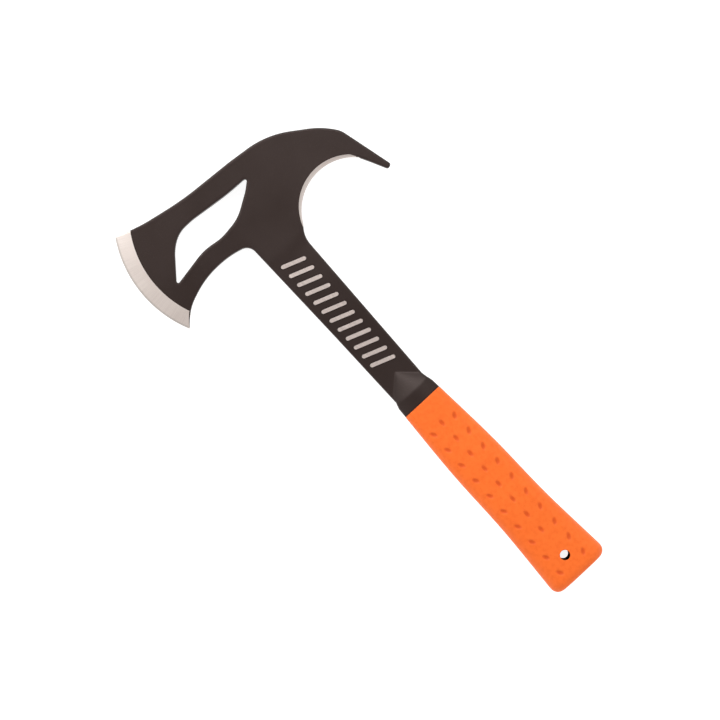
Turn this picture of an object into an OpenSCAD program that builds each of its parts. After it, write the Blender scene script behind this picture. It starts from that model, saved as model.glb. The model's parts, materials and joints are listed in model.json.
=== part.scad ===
// Compact one-piece forged rescue axe: a steel forging from cutting edge to tang,
// with a moulded vinyl grip bonded round the tang and a sleeve lining the lanyard hole.
// The axe lies on its side. x runs from the blade to the butt, y from the cutting edge
// to the hook, z through the thickness. The origin is under the middle of the whole axe.

/* [Blade] */
// Radius of the cutting edge
edge_r = 78.2; // [76:0.1:80]
// Width of the ground bevel behind the cutting edge
bevel_w = 10.2; // [8:0.1:12]
// Thickness of the steel left at the cutting edge
edge_t = 0.5; // [0.3:0.1:1]
// Thickness of the blade where the bevel starts
blade_t = 4.4; // [4:0.1:5]
// Thickness of the head round the poll
head_t = 10; // [9.2:0.1:11]

/* [Hook] */
// Radius of the throat under the hook
throat_r = 33.5; // [33:0.1:34]
// Width of the ground bevel at the middle of the throat
throat_bevel_w = 2.4; // [1.5:0.1:2.8]
// Thickness of the hook at its tip
hook_t = 5.6; // [5:0.1:8]

/* [Shank and shoulder] */
// Thickness of the shank
shank_t = 9; // [8:0.1:9.2]
// Thickness of the shoulder that meets the grip
shoulder_t = 17; // [16:0.1:17.5]
// Radius of the crown across the shoulder
crown_r = 32; // [30:1:40]
// Number of raised ribs on each face of the shank
rib_count = 12; // [6:1:13]
// Distance from one rib to the next
rib_pitch = 7.6; // [6:0.1:7.6]
// Width of a rib
rib_w = 3; // [2:0.1:4]
// How far a rib stands out of the shank
rib_h = 0.6; // [0.3:0.1:0.8]

/* [Tang] */
// Width of the tang inside the grip
tang_w = 17; // [14:1:20]
// Thickness of the bond film between the tang and the grip
bond_t = 0.4; // [0.3:0.1:0.6]

/* [Grip] */
// Width of the grip at the butt
butt_w = 42; // [38:0.5:43]
// Thickness of the grip at the butt
butt_t = 24; // [23:0.5:24]
// Depth of the grip's dimples
dimple_d = 0.6; // [0.4:0.1:0.8]
// Distance from one dimple to the next along the grip
dimple_pitch = 13.05; // [12:0.05:13.2]

/* [Lanyard hole] */
// Diameter of the bore through the grip
bore_d = 6.35; // [5:0.05:8]
// Wall of the sleeve that lines the bore
sleeve_wall = 0.45; // [0.4:0.05:1]

/* [Hidden] */
$fn = 96;
lap = 1;                          // how far a cutter runs past what it cuts
mid_z = butt_t / 2;               // middle plane of the axe above the surface it lies on
axis_y = -1.8;                    // centre line of the grip and tang

// Blade: the centre of the cutting edge's arc. The outline's toe and heel lie past the
// arc, and the blade is cut back to it when it is ground
blade_c = [-136.5, -7];
toe = [-178.8, -76.2];
heel = [-101.5, -80];
past_edge_y = -90;
// Throat: the centre of its arc and the angles it runs between, then the same for the
// bevel. The bevel stops short at the hook and runs out into the shank's corner
throat_c = [-87.7, 49.3];
throat_a = [134, 241];
throat_bevel_c = throat_c + [-throat_bevel_w - 0.5, 1];
throat_bevel_r = throat_r - 0.4;
throat_bevel_a = [135.5, 256];
// Where the cheeks start to thin towards the edge and towards the hook
cheek_y = [-15, 24];
blade_y = -58;                    // below this the blade is evenly thick
hook_tip_y = 86;
// Shank: where the head's faces drop to the shank's, and where the shoulder rises
shank_x = [-100, -93];
shoulder_x = [4.5, 21.3];
grip_x = 30;                      // the shoulder ends here and the grip starts
// Ramp of the shoulder: its middle climbs at rise_a, and its sides spread from a point.
// It is part of a cone whose axis dips below the shank's face
rise_a = atan((shoulder_t - shank_t) / 2 / (shoulder_x[1] - shoulder_x[0]));
spread_a = 46.4;
dip_a = atan((cos(rise_a) - cos(spread_a)) / sin(rise_a));
ramp_sink = 0.1;                  // how far the ramp's point lies below the face
rib_len = 17.5;
rib_lean = 20;                    // how far the ribs lean from square across
first_rib = [-89.5, -1.6];
rib_drop = -0.012;                // the row runs along the middle of the tapering shank
// Tang, its three windows, and the grip's own length
tang_x = [grip_x, 150];
tang_slot_x = [50, 82, 114];
tang_slot = [20, 7];
bore_x = 161.5;
butt_x = 178.2;
dimple_size = [6, 2.8];
dimple_lean = 30;
dimple_row_y = 9;                 // outer rows from the centre line, at the blade's end
dimple_spread = 0.1;              // how much further out each next dimple lies
dimple_x = 50;

// Direction from one point to another, one unit long
function unit(v) = v / norm(v);
// Point at an angle round a centre
function polar(c, r, a) = c + r * [cos(a), sin(a)];
// Points of an arc round c from angle a to angle b, about 1 mm apart
function arc(c, r, a, b) =
    let (n = max(2, ceil(r * abs(b - a) * PI / 180)))
    [for (i = [0:n]) polar(c, r, a + (b - a) * i / n)];
// A corner at b, between a and c, as an arc of radius r that touches both sides
function corner(a, b, c, r) =
    let (u = unit(a - b), w = unit(c - b), half = acos(u * w) / 2,
         m = b + unit(u + w) * r / sin(half),
         p = b + u * r / tan(half) - m, q = b + w * r / tan(half) - m,
         from = atan2(p.y, p.x),
         turn = (atan2(q.y, q.x) - from + 540) % 360 - 180)
    arc(m, r, from, from + turn);
// A closed outline from corners [x, y, radius]; a radius of 0 leaves a corner sharp
function rounded(k) =
    [for (i = [0:len(k) - 1])
        let (a = k[(i + len(k) - 1) % len(k)], b = k[i], c = k[(i + 1) % len(k)])
        each b.z == 0 ? [[b.x, b.y]]
            : corner([a.x, a.y], [b.x, b.y], [c.x, c.y], b.z)];
// A point as a sharp corner
function sharp(p) = [p.x, p.y, 0];

// Outline of the steel, from the heel up the beard, along the shank to the grip and
// back, across the throat, over the hook and down the poll to the toe
beard = [[-112.9, -69.6, 34], [-120.5, -49, 60], [-120.5, -29, 60], [-116.8, -14.6, 7]];
front = [[18.3, -14, 6], [22.6, -15.8, 6], [grip_x, -16.2, 0]];
back = [[grip_x, 12.6, 0], [22.6, 12.1, 6], [18.6, 10.4, 6], [-96.8, 14.5, 18]];
beak = [[-103.4, 77.3, 12], [-92.2, 82.6, 1.7], [-93.3, 86.2, 1.7]];
poll = [[-130.3, 77.3, 15], [-140.5, 69.8, 54], [-160.4, 41, 60], [-163.7, 12, 120],
        [-166.4, -26, 200], [-172, -54, 100]];
steel_outline = rounded(concat(
    [[heel.x, past_edge_y, 0], sharp(heel)], beard, front, back,
    [sharp(polar(throat_c, throat_r, throat_a[1])), sharp(polar(throat_c, throat_r, throat_a[0]))],
    beak, poll, [sharp(toe), [toe.x, past_edge_y, 0]]));
// Finger window in the blade, clockwise from its upper tip
window_outline = rounded([[-149.3, 14.2, 1.2], [-143.3, 6.9, 25], [-133.9, -8.5, 30],
    [-131.9, -24, 30], [-134, -38, 40], [-129.1, -65.6, 1.1], [-146.6, -51, 30],
    [-152.9, -42, 20], [-152.9, -30, 40], [-149.8, -3, 150]]);

// Half thickness across the head, as [y, height]
cheek_profile = [[-edge_r - 20, blade_t / 2], [blade_y, blade_t / 2],
    [cheek_y[0], head_t / 2], [cheek_y[1], head_t / 2],
    [hook_tip_y, hook_t / 2], [hook_tip_y + 10, hook_t / 2]];
// Half thickness along the handle, as [x, height]
handle_profile = [[-190, head_t / 2], [shank_x[0], head_t / 2], [shank_x[1], shank_t / 2],
    [grip_x + lap, shank_t / 2]];
// Grip: [x, half width, half thickness, radius of its long corners]
grip_stations = [[grip_x, 14.45, 9.3, 6], [77, 17.2, 10.6, 8], [125, 18.05, 10.9, 8.5],
    [172.5, butt_w / 2, butt_t / 2, 9], [176.8, butt_w / 2 - 2, butt_t / 2 - 1.6, 7.5],
    [butt_x, butt_w / 2 - 5.5, butt_t / 2 - 4.5, 5]];

// A profile of half thicknesses, both ways about zero
function both_ways(p) =
    concat(p, [for (i = [len(p) - 1:-1:0]) [p[i].x, -p[i].y]]);

// Slot of a given length and width with round ends, along x
module slot(len, w) {
    square([len - w, w], center = true);
    for (s = [-1, 1]) translate([s * (len - w) / 2, 0]) circle(d = w);
}

// Slice of the throat's circle between the shank and the beak
module throat() {
    intersection() {
        translate(throat_c) circle(throat_r);
        throat_sector(throat_a);
    }
}
// Wedge from the throat's centre outwards, between two angles
module throat_sector(a) {
    far = 2 * throat_r;
    polygon([throat_c, polar(throat_c, far, a[0]), polar(throat_c, far, (a[0] + a[1]) / 2),
        polar(throat_c, far, a[1])]);
}

// Plate of the steel outline, thinned across the head and along the handle
module plate() {
    intersection() {
        linear_extrude(head_t + lap, center = true) difference() {
            polygon(steel_outline);
            polygon(window_outline);
            throat();
        }
        translate([-200, 0, 0]) rotate([90, 0, 90])
            linear_extrude(grip_x + 200) polygon(both_ways(cheek_profile));
        translate([0, 100, 0]) rotate([90, 0, 0])
            linear_extrude(200) polygon(both_ways(handle_profile));
    }
}

// Grinding of the cutting edge: all that lies past the edge or outside the bevel's cones
module edge_bevel() {
    outer = edge_r + 20;
    reach = 110;
    translate([blade_c.x, blade_c.y, 0]) intersection() {
        rotate_extrude() for (s = [-1, 1])
            polygon([[edge_r - bevel_w, s * blade_t / 2], [edge_r, s * edge_t / 2], [edge_r, 0],
                [outer, 0], [outer, s * head_t], [edge_r - bevel_w, s * head_t]]);
        translate([-reach / 2, -outer, -head_t]) cube([reach, outer - 40, 2 * head_t]);
    }
}

// Ground bevel of the throat: a cone on each face, off the arc's own centre
module throat_bevel() {
    deep = 4;
    intersection() {
        for (s = [0, 1]) mirror([0, 0, s])
            translate([throat_bevel_c.x, throat_bevel_c.y, throat_face() - deep])
                cylinder(h = 2 * deep, r1 = throat_bevel_r - deep, r2 = throat_bevel_r + deep);
        linear_extrude(head_t + lap, center = true) throat_sector(throat_bevel_a);
    }
}
// Half thickness of the hook at the height of the throat's middle
function throat_face() = head_t / 2
    - (head_t - hook_t) / 2 * (throat_c.y - cheek_y[1]) / (hook_tip_y - cheek_y[1]);

// Shoulder: crowned over, and rising out of the shank along a ramp
module shoulder() {
    intersection() {
        linear_extrude(shoulder_t, center = true) intersection() {
            polygon(steel_outline);
            translate([0, -50]) square([grip_x, 100]);
        }
        for_both_faces() crown();
        for_both_faces() ramp();
    }
}
// One long round bar whose top lies at the shoulder's face
module crown() {
    translate([shoulder_x[1], axis_y, shoulder_t / 2 - crown_r])
        rotate([0, 90, 0]) cylinder(h = 160, r = crown_r, center = true);
}
// Cone from the ramp's point, wide enough to hold the whole shoulder behind it
module ramp() {
    reach = 60;
    translate([shoulder_x[0], axis_y, shank_t / 2 - ramp_sink])
        rotate([0, 90 + dip_a, 0]) cylinder(h = reach, r1 = 0, r2 = reach * tan(dip_a + rise_a));
}
module for_both_faces() {
    intersection() {
        children();
        mirror([0, 0, 1]) children();
    }
}

// Raised ribs, bare on top, in one row on each face of the shank
module ribs() {
    linear_extrude(shank_t + 2 * rib_h, center = true)
        for (i = [0:rib_count - 1])
            translate([first_rib.x + i * rib_pitch, first_rib.y + i * rib_pitch * rib_drop])
                rotate(90 - rib_lean) slot(rib_len, rib_w);
}

// Outline of the tang, grown by g on every side and with windows smaller by g
module tang_outline(g) {
    tip = tang_x[1] + g;
    w = tang_w / 2 + g;
    difference() {
        translate([0, axis_y]) polygon(rounded([[tang_x[0], -w, 0], [tip, -w + 1.5, 5],
            [tip, w - 1.5, 5], [tang_x[0], w, 0]]));
        for (x = tang_slot_x) translate([x + tang_slot.x / 2, axis_y])
            slot(tang_slot.x - 2 * g, tang_slot.y - 2 * g);
    }
}
module tang_solid(g) {
    linear_extrude(shank_t + 2 * g, center = true) tang_outline(g);
}

module forging() {
    color([0.24, 0.21, 0.20]) translate([0, 0, mid_z]) {
        difference() {
            union() {
                plate();
                shoulder();
                ribs();
            }
            edge_bevel();
            throat_bevel();
        }
        tang_solid(0);
    }
}

module tang_bond() {
    color([0.75, 0.72, 0.6]) translate([0, 0, mid_z]) difference() {
        tang_solid(bond_t);
        tang_solid(0);
    }
}

// One rounded section of the grip, as four thin discs
module grip_section(s) {
    for (y = [-1, 1], z = [-1, 1])
        translate([s[0], y * (s[1] - s[3]), z * (s[2] - s[3])])
            rotate([0, 90, 0]) cylinder(h = 0.01, r = s[3], $fn = 32, center = true);
}
// Dimples of one face: two rows that lean towards the centre line and one along it
module dimples() {
    for (i = [0:9], s = [-1, 1])
        dimple(dimple_x + i * dimple_pitch, s * (dimple_row_y + i * dimple_spread), s * -dimple_lean);
    for (i = [0:7])
        dimple(dimple_x - 2 + i * dimple_pitch, 0, 0);
}
// One dimple, as deep everywhere on the grip as the face there is thick
module dimple(x, y, lean) {
    face = lookup(x, [for (s = grip_stations) [s[0], s[2]]]);
    translate([x, y, face - dimple_d]) rotate(lean)
        linear_extrude(dimple_d + lap) slot(dimple_size.x, dimple_size.y);
}

module grip() {
    color([0.98, 0.46, 0.2]) translate([0, axis_y, mid_z]) difference() {
        for (i = [0:len(grip_stations) - 2]) hull() {
            grip_section(grip_stations[i]);
            grip_section(grip_stations[i + 1]);
        }
        translate([bore_x, 0, 0]) cylinder(h = butt_t + 2, d = bore_d + 2 * sleeve_wall, center = true);
        translate([0, -axis_y, 0]) tang_solid(bond_t);
        for (s = [0, 1]) mirror([0, 0, s]) dimples();
    }
}

module lanyard_sleeve() {
    length = butt_t - 1.4;
    color([0.12, 0.11, 0.11]) translate([bore_x, axis_y, mid_z]) difference() {
        cylinder(h = length, d = bore_d + 2 * sleeve_wall, center = true);
        cylinder(h = length + 2, d = bore_d, center = true);
    }
}

forging();
tang_bond();
grip();
lanyard_sleeve();
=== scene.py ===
"""Looks of a one-piece forged rescue axe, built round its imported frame.

The axe lies on its side: x runs from the blade to the butt, y from the cutting edge to the
hook, z up. Shapes are worked out in millimetres and put into meshes in metres.
"""

import json
import math

import bmesh
import bpy
import numpy as np
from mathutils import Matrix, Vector
from mathutils.geometry import delaunay_2d_cdt


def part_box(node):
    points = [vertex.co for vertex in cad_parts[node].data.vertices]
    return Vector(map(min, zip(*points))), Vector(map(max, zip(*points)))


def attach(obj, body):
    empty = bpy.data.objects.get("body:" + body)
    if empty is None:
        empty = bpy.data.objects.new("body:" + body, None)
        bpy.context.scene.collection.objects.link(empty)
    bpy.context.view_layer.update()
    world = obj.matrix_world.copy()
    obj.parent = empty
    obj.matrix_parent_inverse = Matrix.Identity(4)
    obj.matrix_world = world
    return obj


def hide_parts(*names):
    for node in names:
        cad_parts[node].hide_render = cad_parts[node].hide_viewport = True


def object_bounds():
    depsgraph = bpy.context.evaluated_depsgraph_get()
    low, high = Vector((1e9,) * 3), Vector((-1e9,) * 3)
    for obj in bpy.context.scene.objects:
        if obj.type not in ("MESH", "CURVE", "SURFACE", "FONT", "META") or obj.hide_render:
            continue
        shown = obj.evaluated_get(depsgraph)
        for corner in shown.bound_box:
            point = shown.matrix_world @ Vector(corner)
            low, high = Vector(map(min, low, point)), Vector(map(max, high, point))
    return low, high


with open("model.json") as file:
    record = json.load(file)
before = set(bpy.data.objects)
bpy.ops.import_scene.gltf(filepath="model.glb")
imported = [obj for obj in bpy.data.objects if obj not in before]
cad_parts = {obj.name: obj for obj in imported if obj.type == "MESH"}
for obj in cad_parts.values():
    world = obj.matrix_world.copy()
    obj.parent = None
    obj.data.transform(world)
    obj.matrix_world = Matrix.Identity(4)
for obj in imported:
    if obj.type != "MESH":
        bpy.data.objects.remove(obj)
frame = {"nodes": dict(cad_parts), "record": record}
cad_low, cad_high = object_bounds()

MM = 0.001                       # a millimetre in Blender's metres
FAR = 1e3                        # a height that never limits anything

mounts = {mount["name"]: mount for mount in frame["record"]["mounts"]}
bore = mounts["lanyard_bore"]
BORE_X, AXIS_Y, MID_Z = (value / MM for value in bore["pos_m"])
BORE_R = bore["dims"]["r_mm"]
SLEEVE_LENGTH = bore["dims"]["length_mm"]
SLEEVE_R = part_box("lanyard_sleeve")[1].x / MM - BORE_X
GRIP_X, BUTT_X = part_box("grip")[0].x / MM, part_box("grip")[1].x / MM
BOND_LOW, BOND_HIGH = (np.array(corner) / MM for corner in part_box("tang_bond"))

# Blade: centre and radius of the cutting edge, where its bevel and its last narrow
# sharpening start, and the thickness before and after the bevel
BLADE_C = np.array([-136.5, -7.0])
EDGE_R = 78.2
BEVEL_R = 68.0
HONE_R = 77.1
BLADE_HALF = 2.2
EDGE_HALF = 0.25
HONED_HALF = 0.1
BLADE_TOP_Y = -47.0              # the bevel is only cut below this
BLADE_TURN = np.radians(np.arange(228, 304, 0.75))      # past both ends of the bevel
# Throat under the hook: its circle, and the circle that its ground bevel starts on. The
# bevel narrows and stops at an angle near the hook, where the wheel was drawn away
THROAT_C = np.array([-87.7, 49.3])
THROAT_R = 33.5
THROAT_BEVEL_C = np.array([-90.6, 50.3])
THROAT_BEVEL_R = 33.1
THROAT_STOP = 135.5
THROAT_RUN_OUT = 4.5             # over this length the wheel was drawn away
THROAT_RISE = 1.0                # by this much
THROAT_TURN = np.radians(np.arange(112, 262, 0.9))      # past both ends of its bevel
THROAT_LEFT_OF = THROAT_C[0] - 16    # the outline lies on the circle left of this
THROAT_WITHIN = 29.0                 # and this near to the circle's centre in y
# Half thickness across the head, as [y, height], and along the handle, as [x, height]
CHEEKS = np.array([[-98.2, 2.2], [-58, 2.2], [-15, 5], [24, 5], [86, 2.8], [96, 2.8]])
HANDLE = np.array([[-190, 5], [-100, 5], [-93, 4.5], [31, 4.5]])
CHEEK_EASE, HANDLE_EASE = 3.0, 1.5   # how far each side of a corner the rounding reaches
TANG_HALF = 4.5
# Shoulder in front of the grip: crowned across, and rising out of the shank along a ramp.
# The ramp is part of a cone: its middle climbs at RISE, its sides spread by SPREAD from the
# cone's point, and the cone's axis dips by DIP below the shank's face
SHOULDER_TOP = 8.5
SHOULDER_X = np.array([4.5, 21.3])
CROWN_R = 32.0
RISE = math.atan((SHOULDER_TOP - TANG_HALF) / (SHOULDER_X[1] - SHOULDER_X[0]))
SPREAD = math.radians(46.4)
DIP = math.atan((math.cos(RISE) - math.cos(SPREAD)) / math.sin(RISE))
RAMP_EASE, SHOULDER_EASE = 0.12, 0.14    # rounding of its creases
# Row of raised ribs on each face of the shank
RIB_COUNT = 12
RIB_PITCH = np.array([7.6, -0.0912])
FIRST_RIB = np.array([-89.5, -1.6])
RIB_LENGTH, RIB_WIDTH, RIB_HEIGHT = 17.5, 3.0, 0.6
RIB_ANGLE = math.radians(70)
RIB_BARE = 0.24                  # the coating is ground off a rib this far in from its side
RIB_SLOPE = 0.25                 # a rib climbs from this far outside its side to as far inside
# Rounded edges of the forging: never more than a share of the half thickness, and smaller
# on the collar's last stretch before the grip. The coating is painted paler as far in as the last
# of these, partly as rubbed wear and partly as a painted highlight where the rounded edges catch
# the light
EDGE_ROUND = 1.15
ROUND_SHARE = 0.42
COLLAR_ROUND = 0.45
COLLAR_LENGTH = 1.5
EDGE_WEAR_AND_SHEEN = 1.3
# Mesh of the forging: steps of its outline, of the faces over the head and of the finer
# ones over the shoulder, and the angles of the lines along its rounded edges
OUTLINE_STEP = 1.05
OUTLINE_GAP = 0.25               # points of the cut outline nearer than this are dropped
ARC_SNAP = 0.45                  # and those this near to a ground arc are moved onto it
COARSE_STEP, FINE_STEP = 1.6, 0.62
FINE_FROM = SHOULDER_X[0] - 6
RIM_ANGLES = (24, 45, 67)
THINNEST = 0.04                  # least half thickness anywhere
CUT_ABOVE = 0.06                 # the outline is cut this far above the middle
# How far the points between the lines stay from rounded edges, from the blade's two lines,
# from the throat's border in height, and from a rib's side outside and inside
EDGE_CLEAR, LINE_CLEAR, THROAT_CLEAR = 0.75, 0.5, 0.6
RIB_CLEAR_OUT, RIB_CLEAR_IN = 0.75, 0.9
COAT, BLADE, THROAT, RIB = range(4)      # the forging's materials, in their order

# Grip: [x, half width, half thickness, radius of its long corners]
GRIP = np.array([[GRIP_X, 14.45, 9.3, 6], [77, 17.2, 10.6, 8], [125, 18.05, 10.9, 8.5],
                 [172.5, 21, 12, 9]])
BUTT_ROUND = np.array([5.3, 4.3])    # how far width and thickness pull in at the butt
BUTT_BOW = 0.6
FRONT_ROUND = 0.55               # rounding of the edge round its front face
LIP_ROUND = 0.3                  # rounding of the vinyl's lip over the sleeve's ends
LIP_CLEAR = 0.03                 # by this much the lip stands back from the bore
SEAM = 0.07                      # height of the mould's seam along both sides
DIMPLE_PITCH = 13.05
DIMPLE_X = 50.0
DIMPLE_ROW = 9.0
DIMPLE_SPREAD = 0.1
DIMPLE_HALF = np.array([3.2, 1.75])
DIMPLE_DEPTH = 0.8
DIMPLE_LEAN = math.radians(30)
# Grid of the grip: columns in a quarter of its girth, the step between its rings, half the
# side of the block that the bore replaces, and over how many more half sides the grid
# flows from the bore's circle back to its own lines
QUARTER = 54
GIRTH = 4 * QUARTER
RING_STEP = 0.5
BLOCK = 7
FLOW = 1.2
SLEEVE_SIDES = 72


# ---------------------------------------------------------------- shapes in general

def put_mesh(name, points, faces, materials, material_of_face=None, sharp_angle=35.0):
    """A new object from points in millimetres and faces, smooth except across sharp angles
    and where one material meets the next."""
    mesh = bpy.data.meshes.new(name)
    mesh.from_pydata(np.asarray(points) * MM, [], faces)
    for material in materials:
        mesh.materials.append(material)
    if material_of_face is not None:
        mesh.polygons.foreach_set("material_index", np.asarray(material_of_face, np.int32))
    mesh.update()
    mesh.shade_smooth()
    mesh.set_sharp_from_angle(angle=math.radians(sharp_angle))
    if material_of_face is not None:
        mark_material_borders(mesh)
    piece = bpy.data.objects.new(name, mesh)
    bpy.context.scene.collection.objects.link(piece)
    return piece


def mark_material_borders(mesh):
    """Edges whose two faces have different materials are made sharp: the highest and the
    lowest material index round each edge are compared."""
    sizes = np.zeros(len(mesh.polygons), np.int32)
    slots = np.zeros(len(mesh.polygons), np.int32)
    edges = np.zeros(len(mesh.loops), np.int32)
    mesh.polygons.foreach_get("loop_total", sizes)
    mesh.polygons.foreach_get("material_index", slots)
    mesh.loops.foreach_get("edge_index", edges)
    slot_of_loop = np.repeat(slots, sizes)
    low = np.full(len(mesh.edges), 99)
    high = np.full(len(mesh.edges), -1)
    np.minimum.at(low, edges, slot_of_loop)
    np.maximum.at(high, edges, slot_of_loop)
    sharp = np.zeros(len(mesh.edges), bool)
    attribute = mesh.attributes.get("sharp_edge")
    if attribute is None:
        attribute = mesh.attributes.new("sharp_edge", "BOOLEAN", "EDGE")
    attribute.data.foreach_get("value", sharp)
    attribute.data.foreach_set("value", sharp | (low != high))


def add_attribute(piece, name, values):
    """A number for each point of the piece, for its material to read."""
    attribute = piece.data.attributes.new(name, "FLOAT", "POINT")
    attribute.data.foreach_set("value", np.asarray(values, np.float32))


def face_outwards(piece):
    """Turns a closed mesh's faces outwards."""
    work = bmesh.new()
    work.from_mesh(piece.data)
    bmesh.ops.recalc_face_normals(work, faces=work.faces)
    work.to_mesh(piece.data)
    work.free()


def smooth_step(t):
    """Nought up to 0, one from 1, and 3t² - 2t³ between."""
    t = np.clip(t, 0, 1)
    return t * t * (3 - 2 * t)


def soft_max(a, b, width):
    """The larger of two heights, with the crease between them rounded over width."""
    return (a + b + np.sqrt((a - b) ** 2 + width ** 2)) / 2


def soft_profile(t, table, reach):
    """A profile of straight stretches with its corners rounded: the mean of its height at
    seven places within reach of t."""
    places = np.linspace(-reach, reach, 7)
    return sum(np.interp(t + place, table[:, 0], table[:, 1]) for place in places) / len(places)


# ---------------------------------------------------------------- outline of the forging

def section(node, height):
    """Closed loops that the plane at that height cuts from a CAD node, in millimetres. Each
    starts at its lowest x and goes on to the neighbour of lower x, so every run finds the
    same loops."""
    work = bmesh.new()
    work.from_mesh(frame["nodes"][node].data)
    bmesh.ops.remove_doubles(work, verts=work.verts, dist=1e-7)
    everything = work.verts[:] + work.edges[:] + work.faces[:]
    bmesh.ops.bisect_plane(work, geom=everything, plane_co=(0, 0, height * MM),
                           plane_no=(0, 0, 1), clear_inner=True, clear_outer=True)
    by_place = sorted(work.verts, key=lambda vert: tuple(vert.co))
    rank = {vert: number for number, vert in enumerate(by_place)}
    left, loops = dict.fromkeys(by_place), []
    while left:
        here, loop = next(iter(left)), []
        while here is not None:
            del left[here]
            loop.append((here.co.x / MM, here.co.y / MM))
            onward = [edge.other_vert(here) for edge in here.link_edges]
            here = min((vert for vert in onward if vert in left), key=rank.get, default=None)
        loops.append(np.array(loop))
    work.free()
    return [loop for loop in loops if len(loop) > 2]


def area(loop):
    """Signed area of a loop: half the sum of x times the next y less y times the next x."""
    onward = np.roll(loop, -1, 0)
    return (loop[:, 0] * onward[:, 1] - loop[:, 1] * onward[:, 0]).sum() / 2


def thin_out(loop, least):
    """The loop without points that lie closer than least to the point before them."""
    gap = np.linalg.norm(loop - np.roll(loop, 1, 0), axis=1)
    return loop[gap > least]


def split_long(loop, step):
    """The loop with each side cut into equal parts no longer than step."""
    side = np.roll(loop, -1, 0) - loop
    parts = np.maximum(1, np.ceil(np.linalg.norm(side, axis=1) / step - 0.05)).astype(int)
    start = np.repeat(np.arange(len(loop)), parts)
    part = np.arange(parts.sum()) - np.repeat(np.cumsum(parts) - parts, parts)
    return loop[start] + side[start] * (part / parts[start])[:, None]


def turning(loop):
    """Cosine of the turn at each point of a loop."""
    before = loop - np.roll(loop, 1, 0)
    after = np.roll(loop, -1, 0) - loop
    lengths = np.linalg.norm(before, axis=1) * np.linalg.norm(after, axis=1)
    return (before * after).sum(1) / lengths


def refine(loop):
    """The loop with a point more in each side: nine sixteenths of both its ends less a
    sixteenth of both their neighbours, which follows an arc. At a sharp corner the
    neighbour past it is the mirror image of the one before it."""
    corner = (turning(loop) < math.cos(math.radians(60)))[:, None]
    a, b = loop, np.roll(loop, -1, 0)
    before = np.where(corner, 2 * a - b, np.roll(loop, 1, 0))
    after = np.where(np.roll(corner, -1, 0), 2 * b - a, np.roll(loop, -2, 0))
    middle = (9 * (a + b) - before - after) / 16
    return np.stack([a, middle], 1).reshape(-1, 2)


def onto_circle(points, centre, radius, within, where):
    """Points that lie within a distance of a circle are moved onto it."""
    out = points - centre
    distance = np.linalg.norm(out, axis=1)
    near = (abs(distance - radius) < within) & where
    return np.where(near[:, None], centre + out * (radius / distance)[:, None], points)


def clean_loop(loop, hole):
    """An even, smooth loop with the material on its left, from a cut through the CAD."""
    loop = thin_out(loop, OUTLINE_GAP)
    if (area(loop) < 0) != hole:
        loop = loop[::-1]
    loop = split_long(loop, OUTLINE_STEP)
    loop = onto_circle(loop, BLADE_C, EDGE_R, ARC_SNAP, loop[:, 1] < BLADE_TOP_Y)
    in_throat = (loop[:, 0] < THROAT_LEFT_OF) & (abs(loop[:, 1] - THROAT_C[1]) < THROAT_WITHIN)
    loop = onto_circle(loop, THROAT_C, THROAT_R, ARC_SNAP, in_throat)
    return refine(loop)


def inward(loop):
    """For each point, the direction into the material, long enough to keep an equal
    distance from both of its sides."""
    before = loop - np.roll(loop, 1, 0)
    after = np.roll(loop, -1, 0) - loop
    before /= np.linalg.norm(before, axis=1)[:, None]
    after /= np.linalg.norm(after, axis=1)[:, None]
    along = before + after
    along /= np.linalg.norm(along, axis=1)[:, None]
    normal = np.stack([-along[:, 1], along[:, 0]], 1)
    return normal / np.maximum((along * after).sum(1), 0.5)[:, None]


def nearest(points, targets):
    """Distance from each point to the nearest target, and that target's number."""
    distance, which = np.zeros(len(points)), np.zeros(len(points), int)
    for start in range(0, len(points), 1500):
        part = slice(start, start + 1500)
        square = ((points[part, None] - targets[None]) ** 2).sum(2)
        which[part] = square.argmin(1)
        distance[part] = np.sqrt(square.min(1))
    return distance, which


def inside(points, loops):
    """True where a point is in the material: a line from it towards +x crosses the loops
    an odd number of times."""
    found = np.zeros(len(points), int)
    for loop in loops:
        a, b = loop, np.roll(loop, -1, 0)
        for start in range(0, len(points), 4000):
            x, y = points[start:start + 4000, :, None].transpose(1, 0, 2)
            spans = (a[:, 1] > y) != (b[:, 1] > y)
            rise = np.where(b[:, 1] == a[:, 1], 1, b[:, 1] - a[:, 1])
            cross = a[:, 0] + (y - a[:, 1]) * (b[:, 0] - a[:, 0]) / rise
            found[start:start + 4000] += (spans & (x < cross)).sum(1)
    return found % 2 == 1


# ---------------------------------------------------------------- heights of the forging

def edge_distance(points):
    """Distance of each point from the centre of the cutting edge's arc."""
    return np.linalg.norm(points - BLADE_C, axis=1)


def bevel_half(points):
    """Half thickness left by grinding the blade: a straight slope from where the bevel
    starts to the edge, and a steeper one along the last stretch."""
    distance = edge_distance(points)
    slope = (BLADE_HALF - EDGE_HALF) / (EDGE_R - BEVEL_R)
    ground = BLADE_HALF - (distance - BEVEL_R) * slope
    start = BLADE_HALF - (HONE_R - BEVEL_R) * slope
    honed = start - (distance - HONE_R) * (start - HONED_HALF) / (EDGE_R - HONE_R)
    return np.where(points[:, 1] < BLADE_TOP_Y, np.minimum(ground, honed), FAR)


def past_stop(points):
    """How far each point lies past the end of the throat's bevel, towards the hook's tip:
    its distance from the line that leaves the throat's centre at the bevel's last angle."""
    stop = math.radians(THROAT_STOP)
    return (points - THROAT_C) @ np.array([math.sin(stop), -math.cos(stop)])


def throat_cone(points):
    """Half thickness that a wheel at 45 degrees leaves: it falls as fast as one nears the
    bevel's centre, and rises where the wheel was drawn away."""
    start = np.interp(THROAT_C[1], CHEEKS[:, 0], CHEEKS[:, 1])
    drawn = THROAT_RISE * smooth_step(past_stop(points) / THROAT_RUN_OUT + 1)
    return start + np.linalg.norm(points - THROAT_BEVEL_C, axis=1) - THROAT_BEVEL_R + drawn


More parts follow.
